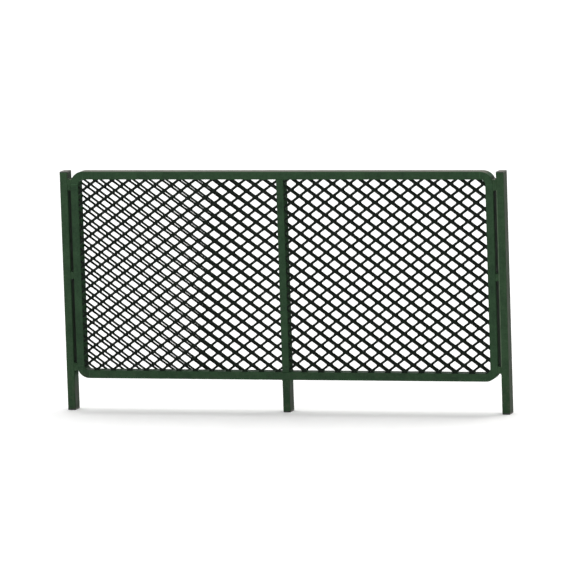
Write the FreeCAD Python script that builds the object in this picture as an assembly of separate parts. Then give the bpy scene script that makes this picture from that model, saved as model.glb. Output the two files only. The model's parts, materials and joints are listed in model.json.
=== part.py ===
"""Livestock panel gate: a welded steel hurdle with two end posts, a bent-corner tube frame,
a centre stile with its own leg, and diamond mesh on both faces of each bay.

Units are millimetres. X runs along the panel, Y runs through it with the front face at -Y,
Z points up. The origin is on the ground, under the middle of the panel.
"""
import FreeCAD, Part

import math
import os
from FreeCAD import Placement, Rotation, Vector

# ---- overall sizes -------------------------------------------------------
overall_length = 1830.0       # outer face of one end post to outer face of the other
overall_height = 965.0        # ground to the top of the post caps
ground_clearance = 130.0      # ground to the underside of the frame
frame_top_drop = 0.0          # how far the frame's top lies below the post caps

# ---- tubes: face is the width seen from the front, depth runs through the panel ----
tube_depth = 60.0
tube_wall = 2.0
tube_corner_radius = 4.0      # outside corner of every tube section
post_face = 32.0
frame_face = 32.0
centre_face = 30.0

# ---- frame ---------------------------------------------------------------
bend_inner_radius = 20.0      # inside of the frame's four corner elbows
post_gap = 12.0               # slot between each post and the frame

# ---- spacer lugs that join the frame to the posts ------------------------
lug_recess = 1.5              # lug faces lie this far behind the tube faces
top_lug_height = 42.0
middle_lug_height = 26.0
bottom_lug_height = 26.0
top_lug_drop = 53.0           # frame's top down to the top lug's middle
middle_lug_drop = 1.5         # frame's mid height down to the middle lug's middle
bottom_lug_rise = 46.0        # frame's underside up to the bottom lug's middle

# ---- weld fillets --------------------------------------------------------
lug_weld_leg = 5.0
stile_weld_leg = 5.0
weld_end_inset = 5.0          # weld runs stop this far short of the tube faces

# ---- diamond mesh --------------------------------------------------------
mesh_pitch_long = 68.7        # diamond, point to point along X
mesh_pitch_short = 49.9       # diamond, point to point along Z
mesh_strand_width = 8.8       # across a strand, in the plane of the sheet
mesh_thickness = 3.0
mesh_recess = 2.5             # mesh face behind the frame face, front and back
mesh_corner_relief = 2.0      # sheet corner radius is this much larger than the corner it sits in

# How each sheet was laid in its bay. No two are alike, so the front and back strands drift
# in and out of line: start along X and Z from the middle of the bay, stretch of the long
# pitch, and climb of the diamond rows along X.
front_left_lay = (-17.5, -7.0, 1.0, 0.0)
front_right_lay = (-7.0, -6.0, 1.0, 0.0)
back_left_lay = (-6.9, 4.0, 1.0147, 0.009)
back_right_lay = (-15.4, -10.2, 1.002, 0.0)

# ---- post caps and foot plugs --------------------------------------------
cap_head_height = 4.0
cap_edge_round = 2.5
foot_head_height = 6.0
foot_edge_chamfer = 1.0
plug_length = 22.0            # part of a cap or foot that enters the tube
plug_wall = 2.0
plug_clearance = 0.25         # plug to tube bore, each side

# ---- sizes that follow ---------------------------------------------------
bend_outer_radius = bend_inner_radius + frame_face
frame_top = overall_height - frame_top_drop
frame_bottom = ground_clearance
post_x = overall_length / 2 - post_face / 2
frame_half_length = overall_length / 2 - post_face - post_gap
stile_x = frame_half_length - frame_face / 2
opening_half_length = frame_half_length - frame_face
opening_bottom = frame_bottom + frame_face
opening_top = frame_top - frame_face
straight_bottom = frame_bottom + bend_outer_radius
straight_top = frame_top - bend_outer_radius
straight_half_length = frame_half_length - bend_outer_radius
top_lug_centre = frame_top - top_lug_drop
middle_lug_centre = (frame_top + frame_bottom) / 2 - middle_lug_drop
bottom_lug_centre = frame_bottom + bottom_lug_rise


def rounded_rectangle(width, depth, radius):
    """Wire in the XY plane, centred on the origin, with round corners."""
    half_w = width / 2
    half_d = depth / 2
    if radius <= 0:
        corners = [(-half_w, -half_d), (half_w, -half_d), (half_w, half_d), (-half_w, half_d)]
        return Part.makePolygon([Vector(x, y, 0) for x, y in corners + corners[:1]])
    centres = [
        (half_w - radius, half_d - radius, 0),
        (-half_w + radius, half_d - radius, 90),
        (-half_w + radius, -half_d + radius, 180),
        (half_w - radius, -half_d + radius, 270),
    ]
    edges = []
    for x, y, start in centres:
        arc = Part.Circle(Vector(x, y, 0), Vector(0, 0, 1), radius)
        edges.append(arc.toShape(math.radians(start), math.radians(start + 90)))
    joined = []
    for number, arc in enumerate(edges):
        following = edges[(number + 1) % 4]
        joined.append(arc)
        joined.append(Part.LineSegment(arc.lastVertex().Point, following.firstVertex().Point).toShape())
    return Part.Wire(joined)


def tube_section(face):
    """Flat ring: the cut end of a rectangular tube, in the XY plane."""
    outer = rounded_rectangle(face, tube_depth, tube_corner_radius)
    inner_radius = max(tube_corner_radius - tube_wall, 0.0)
    inner = rounded_rectangle(face - 2 * tube_wall, tube_depth - 2 * tube_wall, inner_radius)
    return Part.makeFace([outer, inner], "Part::FaceMakerBullseye")


def upright_tube(face, x, bottom, top):
    """Vertical tube standing at x, from bottom to top."""
    tube = tube_section(face).extrude(Vector(0, 0, top - bottom))
    tube.translate(Vector(x, 0, bottom))
    return tube


def level_tube(face, z, start, end):
    """Horizontal tube along X, its axis at height z."""
    tube = tube_section(face).extrude(Vector(0, 0, end - start))
    tube.rotate(Vector(0, 0, 0), Vector(0, 1, 0), 90)
    tube.translate(Vector(start, 0, z))
    return tube


def elbow(side, level):
    """Quarter bend of the frame. side is -1 left or 1 right, level is -1 bottom or 1 top."""
    section = tube_section(frame_face)
    section.translate(Vector(bend_inner_radius + frame_face / 2, 0, 0))
    bend = section.revolve(Vector(0, 0, 0), Vector(0, -1, 0), 90)
    turn = {(1, 1): 0, (-1, 1): -90, (-1, -1): -180, (1, -1): -270}[(side, level)]
    bend.rotate(Vector(0, 0, 0), Vector(0, 1, 0), turn)
    centre_z = straight_top if level > 0 else straight_bottom
    bend.translate(Vector(side * straight_half_length, 0, centre_z))
    return bend


def frame_envelope():
    """Solid block with the frame's outside shape, for coping the lugs that meet its corners."""
    outline = rounded_rectangle(2 * frame_half_length, frame_top - frame_bottom, bend_outer_radius)
    block = Part.Face(outline).extrude(Vector(0, 0, 2 * tube_depth))
    block.rotate(Vector(0, 0, 0), Vector(1, 0, 0), 90)
    block.translate(Vector(0, tube_depth, (frame_top + frame_bottom) / 2))
    return block


def spacer_lug(side, centre, height):
    """Short bar that fills the slot between a post and the frame, coped to a bent corner."""
    depth = tube_depth - 2 * lug_recess
    reach = post_gap + bend_outer_radius
    lug = Part.makeBox(reach, depth, height)
    outer_x = overall_length / 2 - post_face
    corner_x = outer_x - reach if side > 0 else -outer_x
    lug.translate(Vector(corner_x, -depth / 2, centre - height / 2))
    return lug.cut(frame_envelope())


def weld_fillet(leg, length):
    """Hollow fillet along Y in the corner at the origin, opening towards +X and +Z."""
    along_x = Vector(leg, 0, 0)
    along_z = Vector(0, 0, leg)
    middle = Vector(leg * (1 - math.sqrt(0.5)), 0, leg * (1 - math.sqrt(0.5)))
    edges = [
        Part.LineSegment(Vector(0, 0, 0), along_x).toShape(),
        Part.Arc(along_x, middle, along_z).toShape(),
        Part.LineSegment(along_z, Vector(0, 0, 0)).toShape(),
    ]
    bead = Part.Face(Part.Wire(edges)).extrude(Vector(0, length, 0))
    bead.translate(Vector(0, -length / 2, 0))
    return bead


def placed_fillet(leg, x, z, toward_x, toward_z):
    """Weld fillet in the corner at (x, z) that opens towards the given signs of X and Z."""
    bead = weld_fillet(leg, tube_depth - 2 * weld_end_inset)
    if toward_x < 0:
        bead = bead.mirror(Vector(0, 0, 0), Vector(1, 0, 0))
    if toward_z < 0:
        bead = bead.mirror(Vector(0, 0, 0), Vector(0, 0, 1))
    bead.translate(Vector(x, 0, z))
    return bead


def lug_welds(side):
    """Fillets at the ends of the two slots beside one post."""
    post_side = side * (overall_length / 2 - post_face)
    frame_side = side * frame_half_length
    slot_ends = [
        (bottom_lug_centre + bottom_lug_height / 2, 1),
        (middle_lug_centre - middle_lug_height / 2, -1),
        (middle_lug_centre + middle_lug_height / 2, 1),
        (top_lug_centre - top_lug_height / 2, -1),
    ]
    beads = []
    for z, up in slot_ends:
        beads.append(placed_fillet(lug_weld_leg, post_side, z, -side, up))
        beads.append(placed_fillet(lug_weld_leg, frame_side, z, side, up))
    beads.append(placed_fillet(lug_weld_leg, post_side, bottom_lug_centre - bottom_lug_height / 2, -side, -1))
    beads.append(placed_fillet(lug_weld_leg, post_side, top_lug_centre + top_lug_height / 2, -side, 1))
    return Part.makeCompound(beads)


def stile_welds():
    """Fillets where the centre stile meets the rails and where its leg meets the bottom rail."""
    beads = []
    for toward in (-1, 1):
        x = toward * centre_face / 2
        beads.append(placed_fillet(stile_weld_leg, x, opening_bottom, toward, 1))
        beads.append(placed_fillet(stile_weld_leg, x, opening_top, toward, -1))
        beads.append(placed_fillet(stile_weld_leg, x, frame_bottom, toward, -1))
    return Part.makeCompound(beads)


def bay_outline(side):
    """Face in the XZ plane (drawn in XY) that fills one bay between the frame and the stile."""
    inner = centre_face / 2
    outer = opening_half_length
    frame_corner = bend_inner_radius + mesh_corner_relief
    stile_corner = stile_weld_leg + mesh_corner_relief
    corners = [
        (inner, opening_bottom, stile_corner, 180),
        (outer, opening_bottom, frame_corner, 270),
        (outer, opening_top, frame_corner, 0),
        (inner, opening_top, stile_corner, 90),
    ]
    arcs = []
    for x, z, radius, start in corners:
        centre_x = x + radius if x == inner else x - radius
        centre_z = z + radius if z == opening_bottom else z - radius
        circle = Part.Circle(Vector(centre_x, centre_z, 0), Vector(0, 0, 1), radius)
        arcs.append(circle.toShape(math.radians(start), math.radians(start + 90)))
    edges = []
    for number, arc in enumerate(arcs):
        following = arcs[(number + 1) % 4]
        edges.append(arc)
        edges.append(Part.LineSegment(arc.lastVertex().Point, following.firstVertex().Point).toShape())
    face = Part.Face(Part.Wire(edges))
    if side < 0:
        face = face.mirror(Vector(0, 0, 0), Vector(1, 0, 0))
    return face


def diamond(x, z, long_pitch, climb):
    """Corner points of one diamond hole, shrunk from its cell by half a strand on every side."""
    slope_length = math.hypot(long_pitch, mesh_pitch_short)
    half_long = long_pitch / 2 - mesh_strand_width * slope_length / (2 * mesh_pitch_short)
    half_short = mesh_pitch_short / 2 - mesh_strand_width * slope_length / (2 * long_pitch)
    return [Vector(x - half_long, z - climb * half_long, 0), Vector(x, z - half_short, 0),
            Vector(x + half_long, z + climb * half_long, 0), Vector(x, z + half_short, 0)]


def diamond_holes(side, lay):
    """All the holes whose cells may reach into one bay, as lists of corner points."""
    start_x, start_z, stretch, climb = lay
    long_pitch = mesh_pitch_long * stretch
    middle_x = side * (opening_half_length + centre_face / 2) / 2
    middle_z = (opening_top + opening_bottom) / 2
    columns = math.ceil((opening_half_length - centre_face / 2) / long_pitch) + 2
    rows = math.ceil((opening_top - opening_bottom) / mesh_pitch_short) + 2
    holes = []
    for row in range(-rows, rows + 1):
        for column in range(-columns, columns + 1):
            if (row + column) % 2:
                continue
            across = start_x + column * long_pitch / 2
            up = start_z + row * mesh_pitch_short / 2 + climb * across
            holes.append(diamond(middle_x + across, middle_z + up, long_pitch, climb))
    return holes


def mesh_sheet(side, depth_side, lay):
    """Diamond mesh for one bay. Holes inside the sheet are wires, those at its rim are cut out."""
    outline = bay_outline(side)
    box = outline.BoundBox
    corner_room = bend_inner_radius + mesh_corner_relief
    whole = []
    rim = []
    for points in diamond_holes(side, lay):
        low_x, high_x = points[0].x, points[2].x
        low_z, high_z = points[1].y, points[3].y
        if high_x <= box.XMin or low_x >= box.XMax or high_z <= box.YMin or low_z >= box.YMax:
            continue
        wire = Part.makePolygon(points + points[:1])
        inside_x = low_x > box.XMin and high_x < box.XMax
        inside_z = low_z > box.YMin and high_z < box.YMax
        near_side = low_x < box.XMin + corner_room or high_x > box.XMax - corner_room
        near_end = low_z < box.YMin + corner_room or high_z > box.YMax - corner_room
        if inside_x and inside_z and not (near_side and near_end):
            whole.append(wire)
        else:
            rim.append(Part.Face(wire))
    trimmed = outline.cut(rim)
    face = max(trimmed.Faces, key=lambda piece: piece.Area)
    sheet_face = Part.makeFace(face.Wires + whole, "Part::FaceMakerBullseye")
    sheet = sheet_face.extrude(Vector(0, 0, mesh_thickness))
    sheet.rotate(Vector(0, 0, 0), Vector(1, 0, 0), 90)
    front_face_y = -tube_depth / 2 + mesh_recess
    back_y = front_face_y + mesh_thickness if depth_side < 0 else -front_face_y
    sheet.translate(Vector(0, back_y, 0))
    return sheet


def plug_body(face, length):
    """Hollow part of a cap or foot that sits in the tube, its open end up."""
    bore_face = face - 2 * (tube_wall + plug_clearance)
    bore_depth = tube_depth - 2 * (tube_wall + plug_clearance)
    outer = rounded_rectangle(bore_face, bore_depth, max(tube_corner_radius - tube_wall, 0.0))
    inner = rounded_rectangle(bore_face - 2 * plug_wall, bore_depth - 2 * plug_wall, 0.0)
    ring = Part.makeFace([outer, inner], "Part::FaceMakerBullseye")
    return ring.extrude(Vector(0, 0, length))


def post_cap(x):
    """Push-in cap with a rounded head, on top of an end post."""
    head = Part.Face(rounded_rectangle(post_face, tube_depth, tube_corner_radius))
    head = head.extrude(Vector(0, 0, cap_head_height))
    top_edges = [edge for edge in head.Edges if edge.BoundBox.ZMin > cap_head_height - 0.01]
    head = head.makeFillet(min(cap_edge_round, 0.9 * cap_head_height), top_edges)
    body = plug_body(post_face, plug_length)
    body.translate(Vector(0, 0, -plug_length))
    cap = head.fuse(body).removeSplitter()
    cap.translate(Vector(x, 0, overall_height - cap_head_height))
    return cap


def foot_plug(face, x):
    """Push-in foot under a post or under the centre leg; its flat underside is on the ground."""
    head = Part.Face(rounded_rectangle(face, tube_depth, tube_corner_radius))
    head = head.extrude(Vector(0, 0, foot_head_height))
    low_edges = [edge for edge in head.Edges if edge.BoundBox.ZMax < 0.01]
    head = head.makeChamfer(min(foot_edge_chamfer, 0.9 * foot_head_height), low_edges)
    body = plug_body(face, plug_length)
    body.translate(Vector(0, 0, foot_head_height))
    foot = head.fuse(body).removeSplitter()
    foot.translate(Vector(x, 0, 0))
    return foot


def build_posts(parts):
    for name, side in (("left", -1), ("right", 1)):
        parts[name + "_post"] = upright_tube(
            post_face, side * post_x, foot_head_height, overall_height - cap_head_height)
        parts[name + "_post_cap"] = post_cap(side * post_x)
        parts[name + "_foot_plug"] = foot_plug(post_face, side * post_x)


def build_frame(parts):
    top_z = frame_top - frame_face / 2
    bottom_z = frame_bottom + frame_face / 2
    parts["top_rail"] = level_tube(frame_face, top_z, -straight_half_length, straight_half_length)
    parts["bottom_rail"] = level_tube(frame_face, bottom_z, -straight_half_length, straight_half_length)
    for name, side in (("left", -1), ("right", 1)):
        parts[name + "_stile"] = upright_tube(frame_face, side * stile_x, straight_bottom, straight_top)
        parts["top_" + name + "_elbow"] = elbow(side, 1)
        parts["bottom_" + name + "_elbow"] = elbow(side, -1)


def build_centre(parts):
    parts["centre_stile"] = upright_tube(centre_face, 0, opening_bottom, opening_top)
    parts["centre_leg"] = upright_tube(centre_face, 0, foot_head_height, frame_bottom)
    parts["centre_foot_plug"] = foot_plug(centre_face, 0)
    parts["centre_stile_welds"] = stile_welds()


def build_lugs(parts):
    rows = (
        ("top", top_lug_centre, top_lug_height),
        ("middle", middle_lug_centre, middle_lug_height),
        ("bottom", bottom_lug_centre, bottom_lug_height),
    )
    for name, side in (("left", -1), ("right", 1)):
        for level, centre, height in rows:
            parts[name + "_" + level + "_lug"] = spacer_lug(side, centre, height)
        parts[name + "_lug_welds"] = lug_welds(side)


def build_mesh(parts):
    parts["front_left_mesh"] = mesh_sheet(-1, -1, front_left_lay)
    parts["front_right_mesh"] = mesh_sheet(1, -1, front_right_lay)
    parts["back_left_mesh"] = mesh_sheet(-1, 1, back_left_lay)
    parts["back_right_mesh"] = mesh_sheet(1, 1, back_right_lay)


def main():
    os.makedirs("parts", exist_ok=True)
    parts = {}
    build_posts(parts)
    build_frame(parts)
    build_centre(parts)
    build_lugs(parts)
    build_mesh(parts)
    for name, shape in parts.items():
        shape.exportStep(os.path.join("parts", name + ".step"))
        print(name, "solids", len(shape.Solids), "valid", shape.isValid(), "volume", round(shape.Volume))


main()
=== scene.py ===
"""Looks of the livestock panel gate: enamelled tubes, dip-coated diamond mesh, weld beads, studio."""
import json
import math
import random

import bmesh
import bpy
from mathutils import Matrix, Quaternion, Vector


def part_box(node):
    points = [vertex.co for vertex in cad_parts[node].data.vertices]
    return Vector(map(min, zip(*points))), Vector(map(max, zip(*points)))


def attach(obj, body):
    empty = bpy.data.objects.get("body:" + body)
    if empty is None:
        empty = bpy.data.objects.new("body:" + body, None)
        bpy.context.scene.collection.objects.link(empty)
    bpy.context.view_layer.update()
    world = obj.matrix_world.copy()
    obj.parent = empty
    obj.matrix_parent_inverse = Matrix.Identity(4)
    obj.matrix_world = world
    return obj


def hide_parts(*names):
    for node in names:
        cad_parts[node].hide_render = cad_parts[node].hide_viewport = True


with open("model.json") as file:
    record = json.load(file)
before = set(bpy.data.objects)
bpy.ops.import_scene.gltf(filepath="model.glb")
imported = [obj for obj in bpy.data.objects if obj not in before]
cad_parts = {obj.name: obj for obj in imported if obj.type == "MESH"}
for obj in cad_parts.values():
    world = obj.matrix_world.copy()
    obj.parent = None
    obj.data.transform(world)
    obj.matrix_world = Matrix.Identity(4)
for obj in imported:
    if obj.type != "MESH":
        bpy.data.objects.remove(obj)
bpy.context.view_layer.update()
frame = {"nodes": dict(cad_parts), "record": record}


def cad_edges(node):
    """Low and high corner of one CAD node's box as plain numbers, to the nearest micrometre."""
    return [[round(value, 6) for value in corner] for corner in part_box(node)]


def rise(node):
    """Underside and top of one CAD node."""
    low, high = cad_edges(node)
    return low[2], high[2]


# ---- places taken from the frame, in metres ------------------------------
CENTRE_FACE = 2 * cad_edges("centre_stile")[1][0]
OPENING_BOTTOM, OPENING_TOP = rise("centre_stile")
FRAME_BOTTOM = rise("bottom_rail")[0]
FRAME_END_X = cad_edges("right_stile")[1][0]
POST_INNER_X = cad_edges("right_post")[0][0]
POST_OUTER_X = cad_edges("right_post")[1][0]
LUG_BOTTOM = rise("right_bottom_lug")
LUG_MIDDLE = rise("right_middle_lug")
LUG_TOP = rise("right_top_lug")

# ---- diamond mesh, in metres ---------------------------------------------
MESH_PITCH_LONG = 0.0687
MESH_PITCH_SHORT = 0.0499
STRAND_WIDTH = 0.0088
STRAND_THICKNESS = 0.003
STRAND_ANGLES = (0, 35, 62, 90, 118, 145, 180)   # round half a strand's section, front to back
HOLE_CORNER_RADIUS = 0.004
HOLE_CORNER_POINTS = 5
BEND_INNER_RADIUS = 0.020     # inside of the frame's corner elbows
SHEET_CORNER_RELIEF = 0.002   # a sheet's corner is rounded this much more than what it sits in
SHEET_CORNER_ANGLES = (15, 45, 75)
WELD_DISTANCE = 2e-5          # points of neighbouring cells this close become one
CUT_DISTANCE = 1e-6           # points this close to a cut count as on it
# start along X and Z from the middle of the bay, stretch of the long pitch, climb of the rows
MESH_LAY = {
    "front_left_mesh": (-0.0175, -0.0070, 1.0, 0.0),
    "front_right_mesh": (-0.0070, -0.0060, 1.0, 0.0),
    "back_left_mesh": (-0.0069, 0.0040, 1.0147, 0.009),
    "back_right_mesh": (-0.0154, -0.0102, 1.002, 0.0),
}

# ---- weld beads ----------------------------------------------------------
BEAD_LEG = 0.005
BEAD_FACE_POINTS = 9
BEAD_RINGS = 90
FACE_POWER = 1.5              # 1 makes the fillet's face a quarter round, 2 makes it flat
RIPPLE_CRESCENT = 0.0012      # how far the ripples bow along the bead
RIPPLE_PITCH = (0.0026, 0.0034)
RIPPLE_HEIGHT = (0.045, 0.085)   # share of the leg
BEAD_UNEVEN = 0.06            # share by which the hand's speed swells the bead
BEAD_FULLNESS = 0.9
BEAD_SWAY = 9.0               # radians of swelling along one bead
BEAD_SWAY_START = 40.0        # sets each bead going at another place in the swelling
CRATER_SHARE = 0.35           # share of the leg left at a bead's very end
CRATER_SLOPE = 9.0            # share regained per bead length
BEAD_SEED = 17

# ---- wear of the enamel, with painted light and shade --------------------
SHEEN_MARGIN = 0.010           # keeps the bounds of the painted reflection on the side faces clear of the tubes' edges
DUST_AND_SHEEN_START = 0.8              # part of a face's normal that points up, from which dust and a painted sheen lie on it
DUST_AND_SHEEN_FULL = 0.97
SIDE_START = 0.8              # part of a face's normal along X that makes it a side face
OUTER_FACE_X = POST_OUTER_X - SHEEN_MARGIN   # the end posts' outer sides lie beyond this
LEG_TOP = FRAME_BOTTOM - SHEEN_MARGIN
RAGGED_EDGE = 0.05            # height over which the painted reflection fades out above the legs
SPLASH_HEIGHT = 0.22          # dust splashes up to here
EDGE_RADIUS = 0.0035          # reach of the rubbed edges
HIGHLIGHT_WIDTH = 0.0052            # painted highlight down the slot edge of the right-hand post
HIGHLIGHT_CORE = 0.6                # share of that width with the full colour
# painted highlight colour of the slot edge
SLOT_EDGE_HIGHLIGHT = (0.120, 0.170, 0.108)
HAIR = 1e-4                   # keeps the post's own inner face inside the painted highlight
GRIME = (0.085, 0.075, 0.058)
# dust, with a painted sheen, on top faces of tubes and on caps and feet
DUST_AND_SHEEN = (0.125, 0.116, 0.095)
# painted reflection on the open side faces
PAINTED_SIDE_SHEEN = (0.036, 0.040, 0.031)
# painted shade in the inner sides and the end slots
SHADE_GREEN = (0.015, 0.041, 0.017)
SHADE_COVER = 0.75              # share of the painted shade colour on the inner sides
ENAMEL_SPECULAR = 0.17
DULL_SPECULAR = 0.01
SIDE_GLOSS_LOSS = 0.8             # share of the gloss taken from every side face

# ---- camera --------------------------------------------------------------
CAMERA_AZIMUTH = 16.0
CAMERA_ELEVATION = 7.5
CAMERA_ROLL = 1.85
CAMERA_DISTANCE = 25.0
CAMERA_LENS = 395.0
CAMERA_SENSOR = 36.0
CAMERA_REACH = 100.0
CAMERA_TARGET = Vector((0.0067, 0.0, 0.5019))

# ---- studio: places and sizes in metres, angles in degrees, power in watts
FLOOR_REACH = 60.0
LIGHT_TARGET = Vector((0.0, 0.0, 0.5))
CEILING_DIRECTION = Vector((0.0, -0.25, -1.0))
CEILING_SPREAD = 60.0
CEILING_STRENGTH = 2.9
KEY_PLACE = Vector((-4.0, -7.0, 5.0))
KEY_SIZE = 3.0
KEY_POWER = 60
SIDE_PLACE = Vector((7.5, 5.0, 3.0))
SIDE_SIZE = 4.0
SIDE_POWER = 70
WHITE = (1.0, 1.0, 1.0)
WARM = (1.0, 0.94, 0.86)
ROOM_HORIZON = 0.06           # upward part of a direction up to which the room is brightest
ROOM_OVERHEAD = 0.4           # and from which it is dimmest
ROOM_BRIGHT = 0.97
ROOM_DIM = 0.36


# ==== materials ===========================================================
class Nodes:
    """Small helper that adds and links shader nodes."""

    def __init__(self, name):
        self.material = bpy.data.materials.new(name)
        self.material.use_nodes = True
        self.tree = self.material.node_tree
        self.tree.nodes.clear()
        self.output = self.tree.nodes.new("ShaderNodeOutputMaterial")
        self.shader = self.tree.nodes.new("ShaderNodeBsdfPrincipled")
        self.link(self.shader.outputs[0], self.output.inputs["Surface"])

    def link(self, source, target):
        self.tree.links.new(source, target)

    def add(self, kind, **values):
        node = self.tree.nodes.new(kind)
        for name, value in values.items():
            setattr(node, name, value)
        return node

    def place(self):
        """Place on the object, as one vector."""
        return self.add("ShaderNodeTexCoord").outputs["Object"]

    def split(self, vector):
        """The X, Y and Z outputs of a vector."""
        node = self.add("ShaderNodeSeparateXYZ")
        self.link(vector, node.inputs[0])
        return node.outputs

    def noise(self, scale, detail=4.0, roughness=0.55, stretch=None):
        """Noise in about 0 to 1; scale counts its lumps per metre."""
        vector = self.place()
        if stretch:
            mapping = self.add("ShaderNodeMapping")
            mapping.inputs["Scale"].default_value = stretch
            self.link(vector, mapping.inputs["Vector"])
            vector = mapping.outputs[0]
        node = self.add("ShaderNodeTexNoise")
        node.inputs["Scale"].default_value = scale
        node.inputs["Detail"].default_value = detail
        node.inputs["Roughness"].default_value = roughness
        self.link(vector, node.inputs["Vector"])
        return node.outputs["Fac"]

    def two_colours(self, value, reach, dark, light):
        """Dark below the reach, light above it, blended between."""
        node = self.add("ShaderNodeValToRGB")
        for element, position, colour in zip(node.color_ramp.elements, reach, (dark, light)):
            element.position = position
            element.color = (*colour, 1.0)
        self.link(value, node.inputs["Fac"])
        return node.outputs["Color"]

    def spread(self, value, source, target):
        """Value carried from one range to another, and held at its ends."""
        node = self.add("ShaderNodeMapRange")
        node.inputs["From Min"].default_value = source[0]
        node.inputs["From Max"].default_value = source[1]
        node.inputs["To Min"].default_value = target[0]
        node.inputs["To Max"].default_value = target[1]
        self.link(value, node.inputs["Value"])
        return node.outputs["Result"]

    def mix(self, factor, first, second):
        """Colour from a socket, covered by a plain second colour as far as the factor says."""
        node = self.add("ShaderNodeMix", data_type="RGBA", blend_type="MIX")
        self.link(factor, node.inputs["Factor"])
        self.link(first, node.inputs["A"])
        node.inputs["B"].default_value = (*second, 1.0)
        return node.outputs["Result"]

    def maths(self, operation, first, second=0.0):
        node = self.add("ShaderNodeMath", operation=operation)
        for value, socket in ((first, node.inputs[0]), (second, node.inputs[1])):
            if isinstance(value, (int, float)):
                socket.default_value = value
            else:
                self.link(value, socket)
        return node.outputs[0]

    def product(self, *values):
        result = values[0]
        for value in values[1:]:
            result = self.maths("MULTIPLY", result, value)
        return result

    def bump(self, height, strength, distance, below=None):
        node = self.add("ShaderNodeBump")
        node.inputs["Strength"].default_value = strength
        node.inputs["Distance"].default_value = distance
        self.link(height, node.inputs["Height"])
        if below is not None:
            self.link(below, node.inputs["Normal"])
        return node.outputs["Normal"]

    def set(self, name, value):
        """Gives the surface a plain number or links it to a socket."""
        socket = self.shader.inputs[name]
        if isinstance(value, (int, float)):
            socket.default_value = value
        else:
            self.link(value, socket)


def paler(colour, times):
    return tuple(times * part for part in colour)


def mottled(mat, cloudy, fine, cloudy_share, reach, dark, light):
    """Two colours, mottled by a cloudy and a fine noise."""
    blend = mat.maths("ADD", mat.product(cloudy, cloudy_share), mat.product(fine, 1.0 - cloudy_share))
    return mat.two_colours(blend, reach, dark, light)


def rub_edges(mat, colour, normal, bare):
    """Rubbed edges show a paler, greyer green."""
    edge = mat.add("ShaderNodeBevel", samples=6)
    edge.inputs["Radius"].default_value = EDGE_RADIUS
    dot = mat.add("ShaderNodeVectorMath", operation="DOT_PRODUCT")
    mat.link(edge.outputs[0], dot.inputs[0])
    mat.link(normal, dot.inputs[1])
    near_edge = mat.spread(dot.outputs["Value"], (0.995, 0.93), (0.0, 1.0))
    patches = mat.spread(mat.noise(38.0, 4.0, 0.7), (0.42, 0.62), (0.1, 0.7))
    return mat.mix(mat.product(near_edge, patches), colour, bare)


def splash_dust(mat, colour, height):
    """Dust splashed up from the ground."""
    low = mat.spread(height, (SPLASH_HEIGHT, 0.0), (0.0, 0.5))
    splash = mat.spread(mat.noise(55.0, 6.0, 0.7), (0.5, 0.72), (0.0, 1.0))
    return mat.mix(mat.product(low, splash), colour, GRIME)


def settle_dust_and_sheen(mat, colour, upward, height):
    """Dust and a painted sheen lie on upward faces that stand higher than the undersides of the top
    lugs.
    """
    level = mat.spread(upward, (DUST_AND_SHEEN_START, DUST_AND_SHEEN_FULL), (0.0, 1.0))
    high_up = mat.maths("GREATER_THAN", height, LUG_TOP[0])
    patches = mat.spread(mat.noise(22.0, 5.0, 0.65), (0.3, 0.7), (0.5, 0.95))
    return mat.mix(mat.product(level, high_up, patches), colour, DUST_AND_SHEEN)


def open_sides(mat, across, height):
    """Where a side face stands in the open and gets the painted reflection: on the legs, above the lugs
    and outside the posts.
    """
    ragged = mat.maths("ADD", height, mat.product(mat.noise(28.0, 5.0, 0.7), RAGGED_EDGE))
    leg = mat.spread(ragged, (LEG_TOP + RAGGED_EDGE, LEG_TOP), (0.0, 1.0))
    above_lugs = mat.maths("GREATER_THAN", height, LUG_TOP[1])
    outside = mat.maths("GREATER_THAN", mat.maths("ABSOLUTE", across), OUTER_FACE_X)
    return mat.maths("MAXIMUM", mat.maths("MAXIMUM", leg, above_lugs), outside)


def paint_slot_highlight(mat, colour, across, height):
    """A painted highlight: a paler line follows the slot edge of the right-hand post."""
    fade = (POST_INNER_X + HIGHLIGHT_WIDTH, POST_INNER_X + HIGHLIGHT_CORE * HIGHLIGHT_WIDTH)
    from_edge = mat.spread(across, fade, (0.0, 1.0))
    on_post = mat.maths("GREATER_THAN", across, POST_INNER_X - HAIR)
    above = mat.maths("GREATER_THAN", height, LUG_BOTTOM[1])
    below = mat.maths("LESS_THAN", height, LUG_TOP[0])
    patches = mat.spread(mat.noise(26.0, 4.0, 0.65), (0.3, 0.7), (0.35, 0.9))
    return mat.mix(mat.product(from_edge, on_post, above, below, patches), colour, SLOT_EDGE_HIGHLIGHT)


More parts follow.
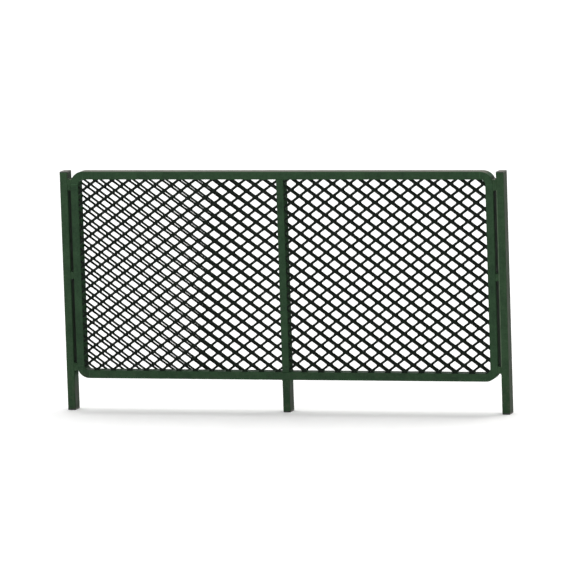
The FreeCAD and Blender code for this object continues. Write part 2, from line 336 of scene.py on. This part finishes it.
def enamel(name, dark, light):
    """Dark green enamel sprayed on steel tube: fine orange peel, mottling, a little yard dust, painted
    shade on the inner sides and end slots, a painted reflection on the open sides, dust with a painted
    sheen on top faces, and a painted highlight along one slot edge.
    """
    mat = Nodes(name)
    normal = mat.add("ShaderNodeNewGeometry").outputs["Normal"]
    facing = mat.split(normal)
    place = mat.split(mat.place())
    across, height = place["X"], place["Z"]
    cloudy = mat.noise(16.0, 6.0, 0.68)

    colour = mottled(mat, cloudy, mat.noise(160.0, 3.0, 0.6), 0.65, (0.36, 0.64), dark, light)
    colour = rub_edges(mat, colour, normal, paler(light, 1.9))
    colour = splash_dust(mat, colour, height)
    colour = settle_dust_and_sheen(mat, colour, facing["Z"], height)

    # painted reflection: the outer sides of posts and legs are given a paler grey-brown, the look of
    # glancing light
    sideways = mat.maths("GREATER_THAN", mat.maths("ABSOLUTE", facing["X"]), SIDE_START)
    exposed = open_sides(mat, across, height)
    sheen_patches = mat.spread(mat.noise(30.0, 5.0, 0.7, stretch=(1.0, 1.0, 0.35)), (0.32, 0.68), (0.4, 0.95))
    colour = mat.mix(mat.product(exposed, sideways, sheen_patches), colour, PAINTED_SIDE_SHEEN)

    # painted shade: the inner sides and the end slots get a darker green, and their gloss is cut
    shaded_sides = mat.product(sideways, mat.maths("SUBTRACT", 1.0, exposed))
    colour = mat.mix(mat.product(shaded_sides, SHADE_COVER), colour, SHADE_GREEN)
    dull = mat.maths("MAXIMUM", shaded_sides, mat.product(sideways, SIDE_GLOSS_LOSS))

    # the painted highlight along the right-hand post's slot edge goes on last
    mat.set("Base Color", paint_slot_highlight(mat, colour, across, height))
    mat.set("Roughness", mat.spread(cloudy, (0.3, 0.7), (0.46, 0.62)))
    mat.set("Specular IOR Level", mat.spread(dull, (0.0, 1.0), (ENAMEL_SPECULAR, DULL_SPECULAR)))
    peel = mat.bump(mat.noise(420.0, 2.0, 0.5), strength=0.22, distance=0.0006)
    mat.set("Normal", mat.bump(mat.noise(24.0, 3.0, 0.5), strength=0.12, distance=0.002, below=peel))
    return mat.material


def dip_coat(name):
    """Thick dark coat on the expanded mesh: runs and pooled spots, near black where it is thick."""
    mat = Nodes(name)
    cloudy = mat.noise(14.0, 4.0, 0.6)
    fine = mat.noise(240.0, 3.0, 0.6)
    mat.set("Base Color", mottled(mat, cloudy, fine, 0.5, (0.35, 0.66),
                                  (0.0026, 0.0052, 0.0030), (0.0064, 0.0120, 0.0072)))
    mat.set("Roughness", mat.spread(cloudy, (0.3, 0.7), (0.42, 0.58)))
    mat.set("Specular IOR Level", 0.09)
    drips = mat.bump(mat.noise(90.0, 3.0, 0.5, stretch=(1.0, 1.0, 0.6)), strength=0.25, distance=0.0015)
    mat.set("Normal", mat.bump(mat.noise(500.0, 2.0, 0.5), strength=0.18, distance=0.0005, below=drips))
    return mat.material


def moulded(name, dark, light):
    """Moulded plastic with a fine spark-eroded grain, scuffs, and dust with a painted sheen on its top
    and side faces.
    """
    mat = Nodes(name)
    cloudy = mat.noise(30.0, 4.0, 0.6)
    colour = mat.two_colours(cloudy, (0.35, 0.65), dark, light)
    scuff = mat.spread(mat.noise(120.0, 6.0, 0.75, stretch=(1.0, 1.0, 0.25)), (0.58, 0.7), (0.0, 0.6))
    colour = mat.mix(scuff, colour, paler(light, 2.4))
    facing = mat.split(mat.add("ShaderNodeNewGeometry").outputs["Normal"])
    # dust and a painted sheen on the top and side faces
    upward = mat.spread(facing["Z"], (DUST_AND_SHEEN_START, DUST_AND_SHEEN_FULL), (0.0, 1.0))
    sideways = mat.spread(mat.maths("ABSOLUTE", facing["X"]), (SIDE_START, DUST_AND_SHEEN_FULL), (0.0, 0.7))
    patches = mat.spread(mat.noise(40.0, 5.0, 0.65), (0.3, 0.7), (0.55, 0.95))
    colour = mat.mix(mat.product(mat.maths("MAXIMUM", upward, sideways), patches), colour, DUST_AND_SHEEN)
    mat.set("Base Color", colour)
    mat.set("Roughness", mat.spread(cloudy, (0.3, 0.7), (0.5, 0.68)))
    mat.set("Normal", mat.bump(mat.noise(900.0, 2.0, 0.5), strength=0.3, distance=0.0003))
    return mat.material


def make_materials():
    return {
        "post_paint": enamel("post_enamel", (0.010, 0.035, 0.012), (0.029, 0.068, 0.029)),
        "frame_paint": enamel("frame_enamel", (0.009, 0.033, 0.012), (0.025, 0.065, 0.027)),
        "weld_paint": enamel("weld_enamel", (0.012, 0.038, 0.015), (0.030, 0.070, 0.031)),
        "mesh_paint": dip_coat("mesh_dip_coat"),
        "cap_plastic": moulded("cap_moulding", (0.016, 0.024, 0.018), (0.026, 0.034, 0.027)),
        "foot_plastic": moulded("foot_moulding", (0.010, 0.013, 0.011), (0.018, 0.022, 0.019)),
    }


def paint_cad_nodes(materials):
    slots = {entry["node"]: entry["material_slot"] for entry in frame["record"]["subparts"]}
    for name, node in frame["nodes"].items():
        node.data.materials.clear()
        node.data.materials.append(materials[slots[name]])


# ==== pieces in general ===================================================
def link(name, mesh):
    piece = bpy.data.objects.new(name, mesh)
    bpy.context.scene.collection.objects.link(piece)
    return piece


def smooth_piece(name, bm):
    """Turns built points and faces into a smooth-shaded piece."""
    bmesh.ops.recalc_face_normals(bm, faces=bm.faces)
    mesh = bpy.data.meshes.new(name)
    bm.to_mesh(mesh)
    bm.free()
    mesh.polygons.foreach_set("use_smooth", [True] * len(mesh.polygons))
    return link(name, mesh)


def join_rings(bm, rings):
    """Skins a row of closed rings that have the same number of points."""
    count = len(rings[0])
    for first, second in zip(rings, rings[1:]):
        for number in range(count):
            following = (number + 1) % count
            bm.faces.new((first[number], first[following], second[following], second[number]))


# ==== diamond mesh ========================================================
def hole_loop(half_long, half_short, climb):
    """Rounded rhombus, as (x, z) offsets from the hole's centre, anticlockwise from +X."""
    corners = [
        Vector((half_long, climb * half_long)),
        Vector((0.0, half_short)),
        Vector((-half_long, -climb * half_long)),
        Vector((0.0, -half_short)),
    ]
    loop = []
    for number, corner in enumerate(corners):
        before = (corners[number - 1] - corner).normalized()
        after = (corners[(number + 1) % 4] - corner).normalized()
        half_angle = before.angle(after) / 2
        middle = (before + after).normalized()
        centre = corner + middle * (HOLE_CORNER_RADIUS / math.sin(half_angle))
        start = corner + before * (HOLE_CORNER_RADIUS / math.tan(half_angle)) - centre
        sweep = math.pi - 2 * half_angle
        for step in range(HOLE_CORNER_POINTS):
            turn = sweep * step / (HOLE_CORNER_POINTS - 1)
            c, s = math.cos(turn), math.sin(turn)
            loop.append(centre + Vector((c * start.x - s * start.y, s * start.x + c * start.y)))
    return loop


def cell_loop(loop, long_pitch, climb):
    """Points on the cell's rim, each straight out from the matching point of the hole's loop."""
    half_long = long_pitch / 2
    half_short = MESH_PITCH_SHORT / 2
    rim = []
    for point in loop:
        level = (point.y - climb * point.x) / half_short
        reach = abs(point.x) / half_long + abs(level)
        rim.append(Vector((point.x / reach, climb * point.x / reach + level * half_short / reach)))
    return rim


def strand_profile():
    """(share of the way to the hole, depth) pairs of a rounded half strand, front to back."""
    half = STRAND_THICKNESS / 2
    turns = [math.radians(angle) for angle in STRAND_ANGLES]
    return [(math.sin(turn), -half * math.cos(turn)) for turn in turns]


def add_cell(bm, centre, loop, rim, profile):
    """One hole with the half strands round it: rings from the front ridge to the back ridge."""
    centre_x, face_y, centre_z = centre
    rings = []
    for share, depth in profile:
        points = [outer.lerp(inner, share) for inner, outer in zip(loop, rim)]
        rings.append([bm.verts.new((centre_x + point.x, face_y + depth, centre_z + point.y))
                      for point in points])
    join_rings(bm, rings)


def cell_centres(low, high, lay, long_pitch):
    """Middles of all cells that reach into the bay, every second place of a grid of half pitches."""
    start_x, start_z, _, climb = lay
    middle = (low + high) / 2
    columns = math.ceil((high.x - low.x) / long_pitch) + 2
    rows = math.ceil((high.z - low.z) / MESH_PITCH_SHORT) + 2
    centres = []
    for row in range(-rows, rows + 1):
        for column in range(-columns, columns + 1):
            across = start_x + column * long_pitch / 2
            x = middle.x + across
            z = middle.z + start_z + row * MESH_PITCH_SHORT / 2 + climb * across
            in_reach = (low.x - long_pitch / 2 < x < high.x + long_pitch / 2
                        and low.z - MESH_PITCH_SHORT / 2 < z < high.z + MESH_PITCH_SHORT / 2)
            if (row + column) % 2 == 0 and in_reach:
                centres.append((x, middle.y, z))
    return centres


def cut_to_bay(bm, low, high, corner_radii):
    """Trims the sheet to its bay, corners included, and caps the cut strand ends."""
    planes = [
        (Vector((low.x, 0, 0)), Vector((-1, 0, 0))),
        (Vector((high.x, 0, 0)), Vector((1, 0, 0))),
        (Vector((0, 0, low.z)), Vector((0, 0, -1))),
        (Vector((0, 0, high.z)), Vector((0, 0, 1))),
    ]
    for (side_x, side_z), radius in corner_radii.items():
        centre_x = high.x - radius if side_x > 0 else low.x + radius
        centre_z = high.z - radius if side_z > 0 else low.z + radius
        centre = Vector((centre_x, 0, centre_z))
        for degrees in SHEET_CORNER_ANGLES:
            turn = math.radians(degrees)
            normal = Vector((side_x * math.cos(turn), 0, side_z * math.sin(turn)))
            planes.append((centre + normal * radius, normal))
    for point, normal in planes:
        geometry = bm.verts[:] + bm.edges[:] + bm.faces[:]
        cut = bmesh.ops.bisect_plane(
            bm, geom=geometry, dist=CUT_DISTANCE, plane_co=point, plane_no=normal, clear_outer=True)
        edges = [item for item in cut["geom_cut"] if isinstance(item, bmesh.types.BMEdge)]
        bmesh.ops.holes_fill(bm, edges=[edge for edge in edges if edge.is_boundary], sides=0)


def build_mesh_sheet(name):
    """Replaces one flat CAD sheet with strands that have a rounded section and round-cornered holes."""
    _, _, stretch, climb = MESH_LAY[name]
    low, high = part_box(name)
    long_pitch = MESH_PITCH_LONG * stretch
    slope = math.hypot(long_pitch, MESH_PITCH_SHORT)
    half_long = long_pitch / 2 - STRAND_WIDTH * slope / (2 * MESH_PITCH_SHORT)
    half_short = MESH_PITCH_SHORT / 2 - STRAND_WIDTH * slope / (2 * long_pitch)
    loop = hole_loop(half_long, half_short, climb)
    rim = cell_loop(loop, long_pitch, climb)
    profile = strand_profile()
    bm = bmesh.new()
    for centre in cell_centres(low, high, MESH_LAY[name], long_pitch):
        add_cell(bm, centre, loop, rim, profile)
    bmesh.ops.remove_doubles(bm, verts=bm.verts, dist=WELD_DISTANCE)
    outward = 1 if low.x > 0 else -1
    bend_corner = BEND_INNER_RADIUS + SHEET_CORNER_RELIEF
    stile_corner = BEAD_LEG + SHEET_CORNER_RELIEF
    corners = {(outward, 1): bend_corner, (outward, -1): bend_corner,
               (-outward, 1): stile_corner, (-outward, -1): stile_corner}
    cut_to_bay(bm, low, high, corners)
    return smooth_piece(name + "_strands", bm)


def add_mesh_sheets(materials):
    for name in MESH_LAY:
        piece = build_mesh_sheet(name)
        piece.data.materials.append(materials["mesh_paint"])
        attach(piece, "root")
        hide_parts(name)


# ==== weld beads ==========================================================
def bead_ring(leg, bulge, y, pitch):
    """Section of a bead at one place along it: the root, then the rippled face, as (x, y, z)."""
    ring = [(0.0, y, 0.0)]
    for step in range(BEAD_FACE_POINTS):
        turn = math.pi / 2 * step / (BEAD_FACE_POINTS - 1)
        crescent = y + RIPPLE_CRESCENT * math.sin(2 * turn)
        ripple = 1.0 + bulge * math.sin(2 * math.pi * crescent / pitch)
        reach = leg * ripple
        ring.append((reach * math.cos(turn) ** FACE_POWER, y, reach * math.sin(turn) ** FACE_POWER))
    return ring


def add_bead(bm, corner, toward, length, chance):
    """One hand-run fillet along Y in a corner, opening towards the given signs of X and Z."""
    pitch = chance.uniform(*RIPPLE_PITCH)
    bulge = chance.uniform(*RIPPLE_HEIGHT)
    lean = chance.uniform(-BEAD_UNEVEN, BEAD_UNEVEN)
    rings = []
    for number in range(BEAD_RINGS):
        along = number / (BEAD_RINGS - 1)
        y = (along - 0.5) * length
        from_end = min(along, 1.0 - along)
        crater = min(1.0, CRATER_SHARE + CRATER_SLOPE * from_end)
        swell = crater * (BEAD_FULLNESS + lean * math.sin(BEAD_SWAY * along + BEAD_SWAY_START * lean))
        ring = bead_ring(BEAD_LEG * swell, bulge, y, pitch)
        rings.append([bm.verts.new((corner[0] + toward[0] * x, along_y, corner[1] + toward[1] * z))
                      for x, along_y, z in ring])
    join_rings(bm, rings)
    bm.faces.new(rings[0])
    bm.faces.new(rings[-1])


def stile_bead_corners():
    """Corner and opening signs of the fillets at the centre stile and the centre leg."""
    places = []
    for toward in (-1, 1):
        x = toward * CENTRE_FACE / 2
        places.append(((x, OPENING_BOTTOM), (toward, 1)))
        places.append(((x, OPENING_TOP), (toward, -1)))
        places.append(((x, FRAME_BOTTOM), (toward, -1)))
    return places


def lug_bead_corners(side):
    """Corner and opening signs of the fillets at the three lugs beside one end post."""
    post, frame_edge = side * POST_INNER_X, side * FRAME_END_X
    slot_ends = ((LUG_BOTTOM[1], 1), (LUG_MIDDLE[0], -1), (LUG_MIDDLE[1], 1), (LUG_TOP[0], -1))
    places = []
    for z, up in slot_ends:
        places.append(((post, z), (-side, up)))
        places.append(((frame_edge, z), (side, up)))
    places.append(((post, LUG_BOTTOM[0]), (-side, -1)))
    places.append(((post, LUG_TOP[1]), (-side, 1)))
    return places


def add_weld_beads(materials):
    chance = random.Random(BEAD_SEED)
    groups = {
        "left_lug_welds": lug_bead_corners(-1),
        "right_lug_welds": lug_bead_corners(1),
        "centre_stile_welds": stile_bead_corners(),
    }
    for name, places in groups.items():
        low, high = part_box(name)
        bm = bmesh.new()
        for corner, toward in places:
            add_bead(bm, corner, toward, high.y - low.y, chance)
        piece = smooth_piece(name + "_beads", bm)
        piece.data.materials.append(materials["weld_paint"])
        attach(piece, "root")
        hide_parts(name)


# ==== studio ==============================================================
def backdrop_material():
    mat = Nodes("studio_paper")
    cloudy = mat.noise(3.0, 2.0, 0.5)
    mat.set("Base Color", mat.two_colours(cloudy, (0.3, 0.7), (0.93, 0.93, 0.926), (0.95, 0.95, 0.946)))
    mat.set("Roughness", 0.9)
    mat.set("Specular IOR Level", 0.1)
    return mat.material


def build_studio():
    """Wide flat sheet of pale paper under the panel."""
    reach = FLOOR_REACH
    corners = [(-reach, -reach, 0.0), (reach, -reach, 0.0), (reach, reach, 0.0), (-reach, reach, 0.0)]
    mesh = bpy.data.meshes.new("studio_floor")
    mesh.from_pydata(corners, [], [(0, 1, 2, 3)])
    mesh.materials.append(backdrop_material())
    link("studio_floor", mesh)


def add_lamp(name, data, direction):
    """Lamp that shines in the given direction."""
    lamp = bpy.data.objects.new(name, data)
    lamp.rotation_euler = direction.to_track_quat("-Z", "Y").to_euler()
    bpy.context.scene.collection.objects.link(lamp)
    return lamp


def square_light(name, place, size, power, colour):
    """Square lamp aimed at the middle of the panel, not seen by the camera."""
    data = bpy.data.lights.new(name, "AREA")
    data.shape = "RECTANGLE"
    data.size, data.size_y = size, size
    data.energy = power
    data.color = colour
    lamp = add_lamp(name, data, LIGHT_TARGET - place)
    lamp.location = place
    lamp.visible_camera = False


def build_lights():
    ceiling = bpy.data.lights.new("ceiling", "SUN")
    ceiling.angle = math.radians(CEILING_SPREAD)
    ceiling.energy = CEILING_STRENGTH
    add_lamp("ceiling", ceiling, CEILING_DIRECTION)
    square_light("key", KEY_PLACE, KEY_SIZE, KEY_POWER, WHITE)
    square_light("side", SIDE_PLACE, SIDE_SIZE, SIDE_POWER, WARM)


def build_room():
    """Soft white room: nearly white at the horizon, dimmer overhead."""
    world = bpy.data.worlds.new("studio")
    world.use_nodes = True
    nodes, links = world.node_tree.nodes, world.node_tree.links
    direction = nodes.new("ShaderNodeTexCoord").outputs["Generated"]
    split = nodes.new("ShaderNodeSeparateXYZ")
    links.new(direction, split.inputs[0])
    fall = nodes.new("ShaderNodeMapRange")
    fall.interpolation_type = "SMOOTHSTEP"
    fall.inputs["From Min"].default_value = ROOM_HORIZON
    fall.inputs["From Max"].default_value = ROOM_OVERHEAD
    fall.inputs["To Min"].default_value = ROOM_BRIGHT
    fall.inputs["To Max"].default_value = ROOM_DIM
    links.new(split.outputs["Z"], fall.inputs["Value"])
    background = nodes["Background"]
    background.inputs["Color"].default_value = (*WHITE, 1.0)
    links.new(fall.outputs["Result"], background.inputs["Strength"])
    bpy.context.scene.world = world


def build_camera():
    azimuth, elevation = math.radians(CAMERA_AZIMUTH), math.radians(CAMERA_ELEVATION)
    back = Vector((
        math.sin(azimuth) * math.cos(elevation),
        -math.cos(azimuth) * math.cos(elevation),
        math.sin(elevation)))
    data = bpy.data.cameras.new("camera")
    data.sensor_width = CAMERA_SENSOR
    data.lens = CAMERA_LENS
    data.clip_end = CAMERA_REACH
    camera = bpy.data.objects.new("camera", data)
    camera.location = CAMERA_TARGET + back * CAMERA_DISTANCE
    aim = (-back).to_track_quat("-Z", "Y")
    camera.rotation_mode = "QUATERNION"
    camera.rotation_quaternion = aim @ Quaternion((0, 0, 1), math.radians(-CAMERA_ROLL))
    bpy.context.scene.collection.objects.link(camera)
    bpy.context.scene.camera = camera


materials = make_materials()
paint_cad_nodes(materials)
add_mesh_sheets(materials)
add_weld_beads(materials)
build_studio()
build_lights()
build_room()
build_camera()
bpy.context.scene.view_settings.view_transform = "Standard"
